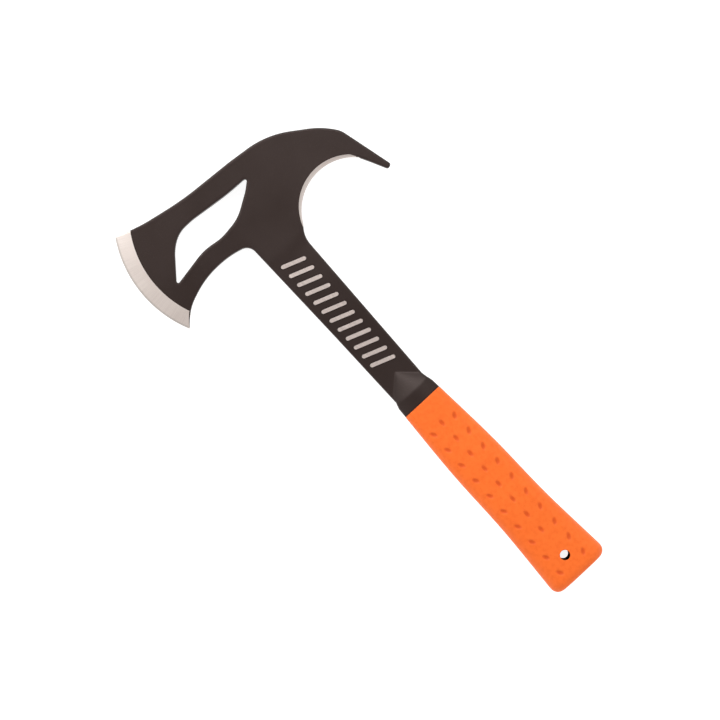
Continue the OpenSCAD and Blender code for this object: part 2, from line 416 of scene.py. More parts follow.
def throat_half(points):
    """Half thickness left by grinding the throat, which ends at the bevel's last angle."""
    return np.where(past_stop(points) < 0, throat_cone(points), FAR)


def shoulder_half(points):
    """Half thickness of the shoulder: the lower of a crown of one radius and of the ramp.
    The ramp's height solves the cone's equation, in which the part of a point along the
    axis is its length times the cosine of the cone's half angle."""
    along, across = points[:, 0] - SHOULDER_X[0], points[:, 1] - AXIS_Y
    crown = SHOULDER_TOP - CROWN_R + np.sqrt(np.maximum(CROWN_R ** 2 - across ** 2, 0))
    opening = math.cos(DIP + RISE) ** 2
    steep = math.sin(DIP) ** 2 - opening
    middle = along * math.cos(DIP) * math.sin(DIP)
    rest = along ** 2 * (math.cos(DIP) ** 2 - opening) - opening * across ** 2
    ramp = TANG_HALF + (middle - np.sqrt(np.maximum(middle ** 2 - steep * rest, 0))) / steep
    ramp = np.where(along > 0, ramp, 0)
    return -soft_max(-crown, -ramp, RAMP_EASE)


def rib_depth(points):
    """How far inside the side of the nearest rib each point is, and less than 0 outside."""
    along = np.array([math.cos(RIB_ANGLE), math.sin(RIB_ANGLE)])
    centres = FIRST_RIB + np.arange(RIB_COUNT)[:, None] * RIB_PITCH
    offset = points[:, None] - centres[None]
    lengthways = (offset * along).sum(2)
    half = (RIB_LENGTH - RIB_WIDTH) / 2
    beyond = offset - np.clip(lengthways, -half, half)[..., None] * along
    return RIB_WIDTH / 2 - np.linalg.norm(beyond, axis=2).min(1)


def plate_half(points):
    """Half thickness of the forging before any grinding: cheeks, handle and shoulder, and
    the tang past the grip's front face."""
    x, y = points.T
    plate = np.minimum(soft_profile(y, CHEEKS, CHEEK_EASE),
                       soft_profile(x, HANDLE, HANDLE_EASE))
    whole = soft_max(plate, shoulder_half(points), SHOULDER_EASE)
    return np.where(x > GRIP_X, TANG_HALF, whole)


def half_thickness(points):
    """Half thickness of the finished forging: the least of plate and grinding, and the ribs."""
    ribs = RIB_HEIGHT * smooth_step((rib_depth(points) + RIB_SLOPE) / (2 * RIB_SLOPE))
    ground = np.minimum(bevel_half(points), throat_half(points))
    return np.minimum(plate_half(points) + ribs, ground)


def rounding(points, half):
    """Radius of the forging's edges: one size, held to a share of the half thickness where
    it is thin, and less at the collar."""
    radius = np.minimum(EDGE_ROUND, ROUND_SHARE * half)
    on_collar = points[:, 0] > GRIP_X - COLLAR_LENGTH
    return np.where(on_collar, np.minimum(radius, COLLAR_ROUND), radius)


def arc_points(centre, radii, angles):
    """Points at angles round a centre, each at its own radius."""
    return centre + np.stack([np.cos(angles), np.sin(angles)], 1) * np.reshape(radii, (-1, 1))


def throat_border():
    """The line where the throat's grinding meets the hook's face: points that step out from
    the bevel's centre until the two heights agree, up to where the bevel stops."""
    radii = np.full(len(THROAT_TURN), THROAT_R)
    for _ in range(8):
        points = arc_points(THROAT_BEVEL_C, radii, THROAT_TURN)
        radii = radii + plate_half(points) - throat_cone(points)
    points = arc_points(THROAT_BEVEL_C, radii, THROAT_TURN)
    return points[past_stop(points) < -0.1]


def rib_line(number, depth):
    """A closed line round one rib, as far inside its side as depth says: two straight
    stretches and two half circles."""
    radius = RIB_WIDTH / 2 - depth
    half = (RIB_LENGTH - RIB_WIDTH) / 2
    turn = np.linspace(-math.pi / 2, math.pi / 2, 11)
    end = np.stack([half + radius * np.cos(turn), radius * np.sin(turn)], 1)
    side = np.stack([np.linspace(half, -half, 22)[1:-1], np.full(20, radius)], 1)
    ring = np.concatenate([end, side, -end, -side])
    across = np.array([[math.cos(RIB_ANGLE), math.sin(RIB_ANGLE)],
                       [-math.sin(RIB_ANGLE), math.cos(RIB_ANGLE)]])
    return FIRST_RIB + number * RIB_PITCH + ring @ across


def hexagons(low, high, step):
    """Points of an even triangular grid between two corners."""
    rows = np.arange(low[1], high[1], step * math.sqrt(3) / 2)
    columns = np.arange(low[0], high[0], step)
    shift = np.arange(len(rows))[:, None] % 2 * step / 2
    x = columns[None] + shift
    return np.stack([x, np.broadcast_to(rows[:, None], x.shape)], 2).reshape(-1, 2)


def fill_points(loops, outline):
    """Points for the faces between the edges: coarse over the head and fine over the
    shoulder, clear of every line that the mesh has to follow."""
    coarse = hexagons(outline.min(0), outline.max(0), COARSE_STEP)
    coarse = coarse[(coarse[:, 0] < FINE_FROM) | (coarse[:, 0] > GRIP_X + 1)]
    fine = hexagons((FINE_FROM, outline[:, 1].min()), (GRIP_X - 0.4, 20), FINE_STEP)
    points = np.concatenate([coarse, fine])
    points = points[inside(points, loops)]
    to_edge = nearest(points, outline)[0]
    distance = edge_distance(points)
    blade = points[:, 1] < BLADE_TOP_Y
    rim = (abs(distance - BEVEL_R) < LINE_CLEAR) | (abs(distance - HONE_R) < LINE_CLEAR)
    throat = abs(throat_half(points) - plate_half(points)) < THROAT_CLEAR
    depth = rib_depth(points)
    rib = (depth > -RIB_CLEAR_OUT) & (depth < RIB_CLEAR_IN)
    return points[(to_edge > EDGE_ROUND + EDGE_CLEAR) & ~(blade & rim) & ~throat & ~rib]


class Plan:
    """Points and lines of the forging seen from above, for the triangulation."""

    def __init__(self):
        self.points, self.offset, self.radius = [], [], []
        self.lines, self.loops, self.count = [], [], 0

    def add(self, points, offset=FAR, radius=1.0):
        """Adds points at their distances from the outline, with the radius of its edge
        there, and returns their numbers. Far from the outline the radius has no effect."""
        numbers = np.arange(self.count, self.count + len(points))
        self.points.append(points)
        self.offset.append(np.broadcast_to(offset, len(points)))
        self.radius.append(np.broadcast_to(radius, len(points)))
        self.count += len(points)
        return numbers

    def add_line(self, points, closed=False):
        """Adds a line that the mesh's edges have to follow, away from the outline."""
        numbers = self.add(points)
        pairs = np.stack([numbers, np.roll(numbers, -1)], 1)
        self.lines.append(pairs if closed else pairs[:-1])

    def add_rim(self, loop, outline):
        """Adds one loop of the outline, and inside it the lines of its rounded edge: each
        lies radius times one less the cosine of its angle from the outline."""
        radius = rounding(loop, half_thickness(loop + inward(loop) * 0.05))
        self.loops.append(self.add(loop, 0.0, radius))
        towards = inward(loop)
        shares = [1 - math.cos(math.radians(angle)) for angle in RIM_ANGLES] + [1.0, 1.25]
        for share in shares:
            offset = radius * share
            ring = loop + towards * offset[:, None]
            clear = nearest(ring, outline)[0] > offset * 0.96
            numbers = np.full(len(ring), -1)
            numbers[clear] = self.add(ring[clear], offset[clear], radius[clear])
            pairs = np.stack([numbers, np.roll(numbers, -1)], 1)
            self.lines.append(pairs[(pairs >= 0).all(1)])

    def triangles(self):
        """The triangulated plan: points, the triangles that have material on the left of
        every loop, and for each point the number it had here, or -1 if it is a new crossing."""
        points = np.concatenate(self.points)
        lines = np.concatenate(self.lines)
        loops = [loop.tolist() for loop in self.loops]
        verts, _, faces, first, _, owners = delaunay_2d_cdt(
            [Vector(point) for point in points], lines.tolist(), loops, 1, 1e-5)
        wanted = [face for face, owner in zip(faces, owners) if len(set(owner)) == len(loops)]
        number = np.array([names[0] if names else -1 for names in first])
        used, wanted = np.unique(np.array(wanted), return_inverse=True)
        verts = np.array([tuple(vert) for vert in verts])
        return verts[used], wanted.reshape(-1, 3), number[used]


def forging_plan():
    """The plan of the forging, its outline loops and all of the outline's points."""
    loops = sorted(section("forging", MID_Z + CUT_ABOVE), key=lambda loop: -abs(area(loop)))
    loops = [clean_loop(loop, hole=number > 0) for number, loop in enumerate(loops)]
    outline = np.concatenate(loops)
    plan = Plan()
    for loop in loops:
        plan.add_rim(loop, outline)
    plan.add_line(arc_points(BLADE_C, BEVEL_R, BLADE_TURN))
    plan.add_line(arc_points(BLADE_C, HONE_R, BLADE_TURN))
    plan.add_line(throat_border())
    for number in range(RIB_COUNT):
        for depth in (-RIB_SLOPE, -0.1, 0.08, RIB_BARE):
            plan.add_line(rib_line(number, depth), closed=True)
    across = np.arange(BOND_LOW[1] + 1.2, BOND_HIGH[1] - 1.0, 0.9)
    for x in (GRIP_X - 0.02, GRIP_X + 0.02):     # the collar's face drops to the tang here
        plan.add_line(np.stack([np.full(len(across), x), across], 1))
    plan.add(fill_points(loops, outline))
    return plan, outline


def face_materials(middle, on_rim):
    """The material of each upper face, from its middle and whether it lies on a rounded
    edge. Towards the handle, the rounded edge beside the blade's bevel keeps its coating."""
    slot = np.full(len(middle), COAT)
    slot[rib_depth(middle) > RIB_BARE] = RIB
    slot[throat_half(middle) < plate_half(middle) - 0.002] = THROAT
    slot[bevel_half(middle) < BLADE_HALF] = BLADE
    behind_hone = edge_distance(middle) <= HONE_R
    slot[on_rim & behind_hone & (middle[:, 0] > BLADE_C[0]) & (slot == BLADE)] = COAT
    return slot


def wall_materials(middle):
    """The material of each face of the walls, from its middle: ground steel where it lies on
    the cutting edge's arc or on the throat's circle, or just inside, as a chord does."""
    on_edge = abs(edge_distance(middle) - EDGE_R) < 0.1
    in_throat = abs(np.linalg.norm(middle - THROAT_C, axis=1) - THROAT_R) < 0.06
    in_throat &= middle[:, 0] < THROAT_LEFT_OF
    on_blade = on_edge & (middle[:, 1] < BLADE_TOP_Y)
    return np.where(on_blade, BLADE, np.where(in_throat, THROAT, COAT))


def open_sides(faces, count):
    """Sides of triangles over count points that only one face has, as that face runs."""
    sides = np.concatenate([faces[:, [0, 1]], faces[:, [1, 2]], faces[:, [2, 0]]])
    names = np.sort(sides, 1) @ np.array([count, 1])
    _, first, seen = np.unique(names, return_index=True, return_counts=True)
    return sides[first[seen == 1]]


def build_forging(materials):
    """The forging as one closed solid: its plan lifted to half its thickness, with rounded
    edges, its mirror image below, and walls between the two round every loop. A rounded
    edge's height is a quarter circle's, from its point's distance to the outline. The
    materials come in the order COAT, BLADE, THROAT, RIB."""
    plan, outline = forging_plan()
    points, faces, number = plan.triangles()
    known = number >= 0
    offset = np.where(known, np.concatenate(plan.offset)[number], 0.0)
    radius = np.where(known, np.concatenate(plan.radius)[number], 1.0)
    if (~known).any():
        distance, which = nearest(points[~known], outline)
        rims = rounding(outline, half_thickness(outline))
        offset[~known], radius[~known] = distance, rims[which]
    half = half_thickness(points)
    height = half - radius + np.sqrt(radius ** 2 - np.clip(radius - offset, 0, radius) ** 2)
    height = np.maximum(height, THINNEST)

    corners = points[faces]
    turned = np.cross(corners[:, 1] - corners[:, 0], corners[:, 2] - corners[:, 0]) < 0
    faces[turned] = faces[turned][:, ::-1]
    on_rim = offset[faces].max(1) <= radius[faces].max(1) * 1.01
    slot = face_materials(points[faces].mean(1), on_rim)
    rim = open_sides(faces, len(points))
    below = len(points)
    walls = np.stack([rim[:, 1], rim[:, 0], rim[:, 0] + below, rim[:, 1] + below], 1)
    wall_slot = wall_materials(points[rim].mean(1))

    upper = np.column_stack([points, MID_Z + height])
    lower = np.column_stack([points, MID_Z - height])
    piece = put_mesh("forging_skin", np.concatenate([upper, lower]),
                     faces.tolist() + (faces[:, ::-1] + below).tolist() + walls.tolist(),
                     materials, np.concatenate([slot, slot, wall_slot]))
    # Paler band along the rounded edges: partly rubbed wear, partly a painted highlight of the
    # lit edges
    wear_and_sheen = np.clip(1 - offset / EDGE_WEAR_AND_SHEEN, 0, 1) * (half > 0.4 * EDGE_ROUND)
    add_attribute(piece, "rim", np.concatenate([wear_and_sheen, wear_and_sheen]))
    return piece


# ---------------------------------------------------------------- grip and sleeve

def smooth_through(x, table):
    """A smooth curve through a table's points: cubic between them, with each point's slope
    taken from its neighbours."""
    knots, values = table
    slopes = np.gradient(values, knots)
    at = np.clip(np.searchsorted(knots, x) - 1, 0, len(knots) - 2)
    gap = knots[at + 1] - knots[at]
    t = np.clip((x - knots[at]) / gap, 0, 1)
    keep = 2 * t ** 3 - 3 * t ** 2 + 1
    lean = (t ** 3 - 2 * t ** 2 + t) * gap
    lean_end = (t ** 3 - t ** 2) * gap
    return (keep * values[at] + lean * slopes[at]
            + (1 - keep) * values[at + 1] + lean_end * slopes[at + 1])


def rounded_section(turn, width, thick, corner):
    """Points of a rounded rectangle by quarters of its girth, from the middle of its top:
    a flat, a quarter circle and a side, and each second quarter runs backwards."""
    quarter = np.floor(turn).astype(int)
    share = np.where(quarter % 2 == 0, turn - quarter, quarter + 1 - turn)
    flat, side = width - corner, thick - corner
    along = share * (flat + corner * math.pi / 2 + side)
    angle = np.clip((along - flat) / corner, 0, math.pi / 2)
    y = np.minimum(along, flat) + corner * np.sin(angle)
    z = side + corner * np.cos(angle) - np.maximum(along - flat - corner * math.pi / 2, 0)
    return y * np.where(quarter < 2, 1, -1), z * np.where((quarter == 0) | (quarter == 3), 1, -1)


def dimple_places():
    """Middle and lean of each dimple: two rows that lean towards the centre line and one
    along it, which carries on to the lanyard hole."""
    outer = np.arange(10)
    middle = np.arange(8)
    places = [np.stack([DIMPLE_X + outer * DIMPLE_PITCH,
                        side * (DIMPLE_ROW + outer * DIMPLE_SPREAD),
                        np.full(10, -side * DIMPLE_LEAN)], 1) for side in (-1, 1)]
    places.append(np.stack([DIMPLE_X - 2 + middle * DIMPLE_PITCH, middle * 0.0, middle * 0.0], 1))
    return np.concatenate(places)


def dimple_shape(x, y):
    """How deep the dimples are, from 0 to 1: a grain of rice with a soft rim and an
    even floor, by the squared distance from its middle in half lengths and half widths."""
    deep = np.zeros(x.shape)
    for place_x, place_y, lean in dimple_places():
        along = (x - place_x) * math.cos(lean) + (y - place_y) * math.sin(lean)
        across = (y - place_y) * math.cos(lean) - (x - place_x) * math.sin(lean)
        square = (along / DIMPLE_HALF[0]) ** 2 + (across / DIMPLE_HALF[1]) ** 2
        deep = np.maximum(deep, smooth_step(1 - square ** 0.9))
    return deep


def grip_rings():
    """The grip's rings from the bottom of its tang hole, out over its front face, along its
    skin and round the butt: x, half width, half thickness and corner radius of each. Also
    the numbers of the skin's first ring and of the ring at the lanyard hole."""
    bond_half = (BOND_HIGH - BOND_LOW)[1:] / 2
    hole = np.array([bond_half[0], bond_half[1], 0.6])
    depth = BOND_HIGH[0]
    rings = [np.array([depth, *hole * share]) for share in (0.35, 0.7, 0.98)]
    rings += [np.array([x, *hole]) for x in np.linspace(depth - 0.3, GRIP_X + 0.2, 16)]
    front = GRIP[0, 1:]
    inner = front - FRONT_ROUND
    for share in (0.02, 0.35, 0.7, 1):
        rings.append(np.array([GRIP_X, *(hole + (inner - hole) * share)]))
    for angle in np.radians((25, 50, 72)):
        pull = FRONT_ROUND * (1 - math.sin(angle))
        ahead = FRONT_ROUND * (1 - math.cos(angle))
        rings.append(np.array([GRIP_X + ahead, *(front - pull)]))
    first = len(rings)
    before = int((BORE_X - GRIP_X - FRONT_ROUND) / RING_STEP)
    bend = BUTT_X - BUTT_BOW - BUTT_ROUND[0]
    x = BORE_X + RING_STEP * np.arange(-before, int((bend - BORE_X) / RING_STEP) + 1)
    sizes = [smooth_through(x, (GRIP[:, 0], GRIP[:, part])) for part in (1, 2, 3)]
    rings += list(np.stack([x, *sizes], 1))
    full = rings[-1]
    for angle in np.radians(np.linspace(9, 90, 10)):
        pull = BUTT_ROUND * (1 - math.cos(angle))
        ahead = full[0] + (BUTT_X - BUTT_BOW - full[0]) * math.sin(angle)
        rings.append(np.array([ahead, *(full[1:3] - pull), full[3] - pull[1]]))
    rim = rings[-1]
    for share in np.linspace(0.9, 0.1, 9):
        rings.append(np.array([BUTT_X - BUTT_BOW * share ** 2, *rim[1:] * share]))
    return np.array(rings), first, first + before


def flow_round_bore(x, y, bore_ring):
    """The grid with its lines round the bore bent into circles, on both faces. A point's
    place in the block's square gives its direction from the bore's middle. On the square it
    lies on the circle, and further out it is blended back to where it was."""
    row = np.arange(len(x))[:, None] - bore_ring
    mouth_r = BORE_R + LIP_ROUND
    for middle_column, rightwards in ((0, 1), (2 * QUARTER, -1)):
        column = (np.arange(GIRTH) - middle_column + 2 * QUARTER) % GIRTH - 2 * QUARTER
        a, b = row / BLOCK, rightwards * column[None] / BLOCK
        square = np.maximum(abs(a), abs(b))
        near = square < 1 + FLOW
        length = np.maximum(np.hypot(a, b), 1e-9)
        blend = smooth_step((square - 1) / FLOW)
        x = np.where(near, BORE_X + mouth_r * a / length * (1 - blend) + (x - BORE_X) * blend, x)
        y = np.where(near, mouth_r * b / length * (1 - blend) + y * blend, y)
    return x, y


def skin_faces(ring_count, bore_ring):
    """Faces of the grid round the grip, without the two blocks that the bore replaces."""
    row, column = np.arange(ring_count - 1)[:, None], np.arange(GIRTH)[None]
    first, right = row * GIRTH + column, row * GIRTH + (column + 1) % GIRTH
    quads = np.stack([first, first + GIRTH, right + GIRTH, right], 2)
    in_rows = (row >= bore_ring - BLOCK) & (row < bore_ring + BLOCK)
    top = (column < BLOCK) | (column >= GIRTH - BLOCK)
    bottom = (column >= 2 * QUARTER - BLOCK) & (column < 2 * QUARTER + BLOCK)
    return quads[~(in_rows & (top | bottom))]


def bore_mouths(bore_ring):
    """Numbers of the points round the block's square, on the upper face and, in the same
    order round the bore, on the lower one."""
    side, end = np.arange(-BLOCK, BLOCK), np.full(2 * BLOCK, BLOCK)
    rows = (bore_ring + np.concatenate([side, end, -side, -end])) * GIRTH
    columns = np.concatenate([-end, side, end, -side])
    return rows + columns % GIRTH, rows + (2 * QUARTER - columns) % GIRTH


def bore_rings(mouth):
    """Radius and heights of each ring down the bore, from the heights of its upper mouth: a
    quarter round lip over the sleeve's end, the sleeve's seat, and their mirror image."""
    seat = np.full(len(mouth), SLEEVE_LENGTH / 2 + 0.01)
    lip_r = BORE_R + LIP_CLEAR
    half = [(lip_r + LIP_ROUND * (1 - math.sin(turn)), mouth - LIP_ROUND * (1 - math.cos(turn)))
            for turn in np.radians((30, 60, 90))]
    half += [(lip_r, seat), (SLEEVE_R, seat), (SLEEVE_R, seat - 0.4), (SLEEVE_R, seat * 0.5)]
    return half + [(radius, -height) for radius, height in half[::-1]]


def build_grip(material):
    """The grip as one closed skin. Its rings are rounded rectangles; round the lanyard hole
    the grid flows into a circle on both faces, and rings down the bore join the circles."""
    rings, first_ring, bore_ring = grip_rings()
    x = np.repeat(rings[:, :1], GIRTH, 1)
    turn = np.arange(GIRTH)[None] / QUARTER
    y, z = rounded_section(turn, *(rings[:, part, None] for part in (1, 2, 3)))
    x, y = flow_round_bore(x, y, bore_ring)
    skin = np.arange(len(rings))[:, None] >= first_ring
    broad_face = abs(z) > 5
    dent = np.where(skin & broad_face, dimple_shape(x, y), 0.0)
    z = z - np.sign(z) * dent * DIMPLE_DEPTH
    by_seam = abs(np.arange(GIRTH) % (2 * QUARTER) - QUARTER) < 1
    y = y + np.where(skin & by_seam[None] & (x < BUTT_X - 1), SEAM * np.sign(y), 0)
    grid = np.stack([x, y, z], 2).reshape(-1, 3)

    upper, lower = bore_mouths(bore_ring)
    out = grid[upper, :2] - [BORE_X, 0]
    out /= np.linalg.norm(out, axis=1)[:, None]
    bore_points = [np.column_stack([BORE_X + out[:, 0] * radius, out[:, 1] * radius, height])
                   for radius, height in bore_rings(grid[upper, 2])]
    numbers = len(grid) + np.arange(len(bore_points) * len(upper)).reshape(-1, len(upper))
    down = np.concatenate([upper[None], numbers, lower[None]])
    onward = np.roll(down, -1, 1)
    walls = np.stack([down[:-1], down[1:], onward[1:], onward[:-1]], 2).reshape(-1, 4)

    poles = np.array([[rings[0, 0], 0, 0], [BUTT_X, 0, 0]])
    points = np.concatenate([grid, *bore_points, poles]) + [0, AXIS_Y, MID_Z]
    front_pole, butt_pole = np.full(GIRTH, len(points) - 2), np.full(GIRTH, len(points) - 1)
    start = np.arange(GIRTH)
    last = (len(rings) - 1) * GIRTH + start
    caps = np.concatenate([np.stack([front_pole, start, np.roll(start, -1)], 1),
                           np.stack([last, butt_pole, np.roll(last, -1)], 1)])
    quads = np.concatenate([skin_faces(len(rings), bore_ring), walls])

    used, packed = np.unique(np.concatenate([quads.ravel(), caps.ravel()]), return_inverse=True)
    quads, caps = packed[:quads.size].reshape(-1, 4), packed[quads.size:].reshape(-1, 3)
    piece = put_mesh("grip_skin", points[used], quads.tolist() + caps.tolist(), [material],
                     sharp_angle=50)
    face_outwards(piece)
    shade = np.zeros(len(points))
    shade[:dent.size] = dent.ravel()
    add_attribute(piece, "dent", shade[used])
    return piece


def build_sleeve(material):
    """A tube with chamfered mouths: its wall's outline turned round the bore's axis."""
    half = SLEEVE_LENGTH / 2
    cut = (SLEEVE_R - BORE_R) * 0.4
    middle = np.linspace(-half + 2, half - 2, 8)
    profile = [(BORE_R, z) for z in middle] + [(BORE_R, half - cut), (BORE_R + cut, half)]
    profile += [(SLEEVE_R - cut * 0.5, half), (SLEEVE_R, half - cut)]
    profile += [(SLEEVE_R, z) for z in middle[::-1]]
    profile += [(SLEEVE_R, -half + cut), (SLEEVE_R - cut * 0.5, -half)]
    profile += [(BORE_R + cut, -half), (BORE_R, -half + cut)]
    r, z = np.array(profile).T
    turn = np.arange(SLEEVE_SIDES) * 2 * math.pi / SLEEVE_SIDES
    points = np.stack([BORE_X + r[None] * np.cos(turn)[:, None],
                       AXIS_Y + r[None] * np.sin(turn)[:, None],
                       np.broadcast_to(MID_Z + z, (len(turn), len(z)))], 2).reshape(-1, 3)
    around, along = np.arange(len(turn))[:, None], np.arange(len(z))[None]
    onward, ahead = (around + 1) % len(turn), (along + 1) % len(z)
    quads = np.stack([around * len(z) + along, around * len(z) + ahead,
                      onward * len(z) + ahead, onward * len(z) + along], 2).reshape(-1, 4)
    piece = put_mesh("sleeve_tube", points, quads.tolist(), [material], sharp_angle=30)
    face_outwards(piece)
    return piece


# ---------------------------------------------------------------- materials

class Wire:
    """A shader output. Sums, differences and products of wires and numbers add Math nodes
    to the tree that the wire is in."""

    def __init__(self, tree, socket):
        self.tree, self.socket = tree, socket

    def math(self, operation, first, second=0.0):
        """One Math node on one or two wires or numbers."""
        return add_node(self.tree, "ShaderNodeMath", {0: first, 1: second}, operation=operation)

    def __add__(self, other):
        return self.math("ADD", self, other)

    def __sub__(self, other):
        return self.math("SUBTRACT", self, other)

    def __rsub__(self, other):
        return self.math("SUBTRACT", other, self)

    def __mul__(self, other):
        return self.math("MULTIPLY", self, other)

    __radd__ = __add__
    __rmul__ = __mul__


def add_node(tree, kind, inputs=None, output=0, stops=None, **settings):
    """Any node: its settings and a ramp's stops first, then the values or wires of its
    sockets. Returns the named or numbered output."""
    node = tree.nodes.new(kind)
    for name, value in settings.items():
        setattr(node, name, value)
    if stops:
        ramp = node.color_ramp.elements
        while len(ramp) < len(stops):
            ramp.new(0.5)
        for element, (position, color) in zip(ramp, stops):
            element.position, element.color = position, color
    for name, value in (inputs or {}).items():
        if isinstance(value, Wire):
            tree.links.new(value.socket, node.inputs[name])
        else:
            node.inputs[name].default_value = value
    return Wire(tree, node.outputs[output])


class Finish:
    """A material with one Principled shader, whose constants are set on its own sockets."""

    def __init__(self, name, **constants):
        self.material = bpy.data.materials.new(name)
        self.material.use_nodes = True
        self.tree = self.material.node_tree
        self.shader = self.tree.nodes["Principled BSDF"]
        for socket, value in constants.items():
            self.shader.inputs[socket.replace("_", " ")].default_value = value
        self.place = self.node("ShaderNodeTexCoord", output="Object")

    def node(self, kind, inputs=None, **rest):
        """A node in this material."""
        return add_node(self.tree, kind, inputs, **rest)

    def stretched(self, scale=(1, 1, 1), turn=0.0, location=(0, 0, 0)):
        """Object coordinates moved, then turned about z, then scaled."""
        moved = self.node("ShaderNodeVectorMath", {0: self.place, 1: location},
                          operation="SUBTRACT")
        turned = self.node("ShaderNodeVectorRotate", {"Vector": moved, "Angle": turn},
                           rotation_type="Z_AXIS")
        return self.node("ShaderNodeVectorMath", {0: turned, 1: scale}, operation="MULTIPLY")

    def noise(self, where, scale, detail=2.0, roughness=0.5):
        """Noise from 0 to 1 at some coordinates."""
        return self.node("ShaderNodeTexNoise", {"Vector": where, "Scale": scale, "Detail": detail,
                                                "Roughness": roughness})

    def between(self, value, low, high, low_out=0.0, high_out=1.0):
        """The value carried from one range to another and kept inside it."""
        return self.node("ShaderNodeMapRange",
                         {0: value, 1: low, 2: high, 3: low_out, 4: high_out})

    def blend(self, share, first, second):
        """A colour between two colours."""
        return self.node("ShaderNodeMix", {0: share, 6: first, 7: second}, output=2,
                         data_type="RGBA")

    def feed(self, **wires):
        """Links wires to the shader's sockets."""
        for socket, wire in wires.items():
            self.tree.links.new(wire.socket, self.shader.inputs[socket.replace("_", " ")])

    def bump(self, height, distance, strength=1.0, after=None):
        """Relief from a height in 0..1 whose full depth is distance, on top of another."""
        inputs = {"Height": height, "Distance": distance, "Strength": strength}
        if after is not None:
            inputs["Normal"] = after
        return self.node("ShaderNodeBump", inputs)

    def attribute(self, name):
        """A number that the piece's points carry."""
        return self.node("ShaderNodeAttribute", output="Fac", attribute_name=name)


def rgb(red, green, blue):
    """A colour with full alpha."""
    return (red, green, blue, 1.0)


def powder_coat():
    """Satin black-brown powder coat: orange peel, faint clouding, and paler edges: rubbed wear
    and painted highlight.
    """
    finish = Finish("coated_steel", Specular_IOR_Level=0.42, Specular_Tint=rgb(1.0, 0.84, 0.80))
    cloud = finish.noise(finish.place, 26.0, 3.0)
    speck = finish.noise(finish.place, 2300.0, 2.0)
    peel = finish.noise(finish.place, 850.0, 2.0)
    rim = finish.attribute("rim")
    # Edges painted paler: partly rubbed wear, partly a painted highlight where the rounded edges
    # catch the light
    rubbed_and_sheen = finish.between(rim * 0.85 + cloud * 0.5, 0.62, 1.15)
    tone = finish.blend(finish.between(cloud, 0.35, 0.65), rgb(0.0143, 0.0080, 0.0066),
                        rgb(0.0176, 0.0104, 0.0090))
    tone = finish.blend(finish.between(speck, 0.60, 0.78, 0.0, 0.5), tone,
                        rgb(0.050, 0.037, 0.033))
    tone = finish.blend(rubbed_and_sheen * 0.4, tone, rgb(0.070, 0.060, 0.054))
    finish.feed(Base_Color=tone,
                Roughness=finish.between(cloud, 0.3, 0.7, 0.38, 0.46) - rubbed_and_sheen * 0.08,
                Normal=finish.bump(peel * 0.8 + speck * 0.2, 0.00005, 0.5))
    return finish.material


def ground_steel(name, centre, dark, light, shaded_from=None):
    """Bare ground steel, whose fine wheel lines run straight out from a centre: noise on the
    angle round that centre, drawn out along the distance from it. Past the given distance the
    steel is painted a little darker: painted shade for the steeper honed stretch, which reflects
    less light."""
    finish = Finish(name, Metallic=1.0)
    out = finish.stretched(location=(*(centre * MM), 0))
    x, y = (finish.node("ShaderNodeSeparateXYZ", {0: out}, output=part) for part in (0, 1))
    angle = x.math("ARCTAN2", y, x)
    distance = x.math("SQRT", x * x + y * y)
    drawn_out = finish.node("ShaderNodeCombineXYZ", {0: angle * 520.0, 1: distance * 30.0})
    lines = finish.noise(drawn_out, 1.0, 2.0, 0.6)
    cloud = finish.noise(finish.place, 34.0, 2.0)
    tone = finish.blend(finish.between(lines * 0.75 + cloud * 0.35, 0.30, 0.80), dark, light)
    if shaded_from is not None:
        # Painted shade: the honed stretch is painted darker in place of the darker reflection of
        # its steeper slope
        start = shaded_from * MM
        border = 0.1 * MM
        honed_shade = finish.between(distance, start - border, start + border)
        tone = finish.blend(honed_shade * 0.35, tone, rgb(0.36, 0.34, 0.33))
    finish.feed(Base_Color=tone, Roughness=finish.between(lines, 0.3, 0.7, 0.40, 0.50),
                Normal=finish.bump(lines, 0.00003, 0.35))
    return finish.material


def bare_rib():
    """Rib tops where a flat belt took the coating off: short straight scratches along the
    shank, and a little of the coating left in the low spots."""
    finish = Finish("bare_rib", Metallic=1.0)
    scratches = finish.noise(finish.stretched((150.0, 3600.0, 300.0), 0.05), 1.0, 3.0, 0.6)
    cloud = finish.noise(finish.place, 160.0, 3.0)
    left_over = finish.between(cloud * 0.7 + scratches * 0.3, 0.62, 0.70, 0.0, 0.45)
    tone = finish.blend(finish.between(scratches, 0.3, 0.7), rgb(0.56, 0.485, 0.455),
                        rgb(0.74, 0.655, 0.62))
    tone = finish.blend(left_over, tone, rgb(0.16, 0.13, 0.12))
    finish.feed(Base_Color=tone, Roughness=finish.between(scratches, 0.3, 0.7, 0.40, 0.52),
                Normal=finish.bump(scratches, 0.00003, 0.4))
    return finish.material


def vinyl():
    """Orange moulded vinyl: fine satin grain over a coarser mottle, slight clouding, and
    painted shade darkening the dimples."""
    finish = Finish("grip_vinyl", Specular_IOR_Level=0.22)
    cloud = finish.noise(finish.place, 30.0, 3.0)
    mottle = finish.noise(finish.place, 380.0, 3.0)
    grain = finish.noise(finish.place, 1500.0, 3.0, 0.6)
    dent = finish.attribute("dent")
    tone = finish.blend(finish.between(cloud, 0.3, 0.7), rgb(0.86, 0.148, 0.018),
                        rgb(0.92, 0.166, 0.022))
    tone = finish.blend(finish.between(mottle, 0.42, 0.68, 0.0, 0.6), tone,
                        rgb(0.80, 0.124, 0.013))
    tone = finish.blend(finish.between(grain, 0.55, 0.75, 0.0, 0.35), tone,
                        rgb(0.76, 0.122, 0.014))
    # Painted shade in the dimples: darker colour by their depth
    tone = finish.blend(finish.between(dent, 0.1, 1.0, 0.0, 0.8), tone, rgb(0.60, 0.070, 0.006))
    finish.feed(Base_Color=tone, Roughness=finish.between(grain, 0.3, 0.7, 0.48, 0.60),
                Normal=finish.bump(mottle, 0.00012, 0.4, after=finish.bump(grain, 0.00008, 0.5)))
    return finish.material


